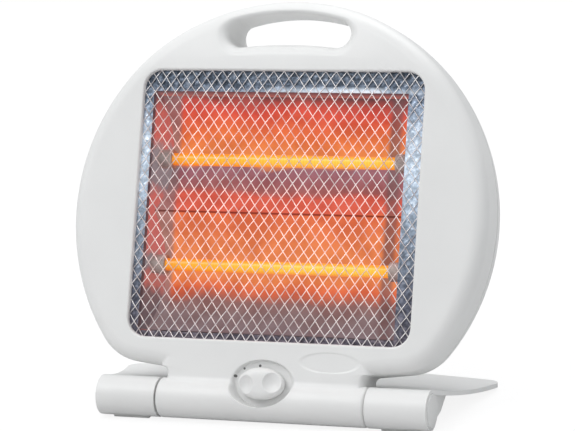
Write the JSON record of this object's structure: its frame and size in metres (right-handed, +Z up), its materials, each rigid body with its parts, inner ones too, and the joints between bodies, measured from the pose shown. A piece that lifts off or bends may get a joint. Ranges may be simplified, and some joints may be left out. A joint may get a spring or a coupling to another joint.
{
  "type": "halogen heater",
  "caption": "Round tilting halogen heater: glowing quartz tubes before a bright reflector behind a wire grille, in a moulded housing with carrying slot, switch knob and hinged stand.",
  "frame": {"origin": "on the floor, under the middle of the whole heater seen from above, at its rest lean", "axes": "+X to the right as seen from the front, +Y from the grille towards the back, +Z up"},
  "size_m": [0.3, 0.1461, 0.2671],
  "materials": {
    "cover_plastic": "satin white moulded plastic",
    "rear_plastic": "pale grey moulded plastic",
    "plated_wire": "bright plated wire",
    "bright_sheet": "bright embossed sheet",
    "end_sheet": "dull sheet",
    "bracket_steel": "plain zinc-plated strip",
    "quartz": "clear quartz, lit by the coil inside",
    "heating_wire": "glowing resistance wire",
    "ceramic": "matt unglazed ceramic",
    "nickel_pins": "plain nickel wire",
    "shield_steel": "galvanised sheet",
    "switch_plastic": "black moulded plastic",
    "shaft_steel": "turned steel",
    "knob_plastic": "satin white moulded plastic",
    "weight_iron": "plain iron",
    "terminal_plastic": "ivory moulded plastic",
    "grommet_rubber": "black rubber",
    "screw_steel": "zinc-plated screw",
    "stand_plastic": "satin white moulded plastic",
    "washer_plastic": "natural low-friction plastic",
    "foot_rubber": "grey rubber"
  },
  "bodies": {
    "stand": {"stand_base": "stand_plastic", "barrel_caps": "stand_plastic", "hinge_pins": "shaft_steel", "friction_washers": "washer_plastic", "stand_feet": "foot_rubber"},
    "head": {"front_housing": "cover_plastic", "rear_housing": "rear_plastic", "hinge_bushes": "washer_plastic", "grille": "plated_wire", "reflector_frame": "bright_sheet", "reflector": "bright_sheet", "end_plate_left": "end_sheet", "end_plate_right": "end_sheet", "bracket_left": "bracket_steel", "bracket_right": "bracket_steel", "upper_tube": "quartz", "lower_tube": "quartz", "upper_coil": "heating_wire", "lower_coil": "heating_wire", "tube_caps_left": "ceramic", "tube_caps_right": "ceramic", "lead_pins": "nickel_pins", "heat_shield": "shield_steel", "thermal_cutout": "switch_plastic", "rotary_switch": "switch_plastic", "tip_switch_case": "switch_plastic", "terminal_block": "terminal_plastic", "cord_grommet": "grommet_rubber", "housing_screws": "screw_steel", "pan_screws": "screw_steel"},
    "knob": {"switch_shaft": "shaft_steel", "knob": "knob_plastic"},
    "tip_weight": {"tip_weight": "weight_iron"}
  },
  "joints": [
    {"name": "head_tilt", "type": "hinge", "parent": "stand", "child": "head", "pos_m": [0, -0.05845, 0.0145], "axis": [1, 0, 0], "range_deg": [-5, 27]},
    {"name": "knob_turn", "type": "hinge", "parent": "head", "child": "knob", "pos_m": [0, -0.05952, 0.02787], "axis": [0, -0.9272, 0.3746], "range_deg": [0, 62]},
    {"name": "tip_swing", "type": "hinge", "parent": "head", "child": "tip_weight", "pos_m": [0.122, 0.01107, 0.14388], "axis": [1, 0, 0], "range_deg": [-32, 10]}
  ]
}
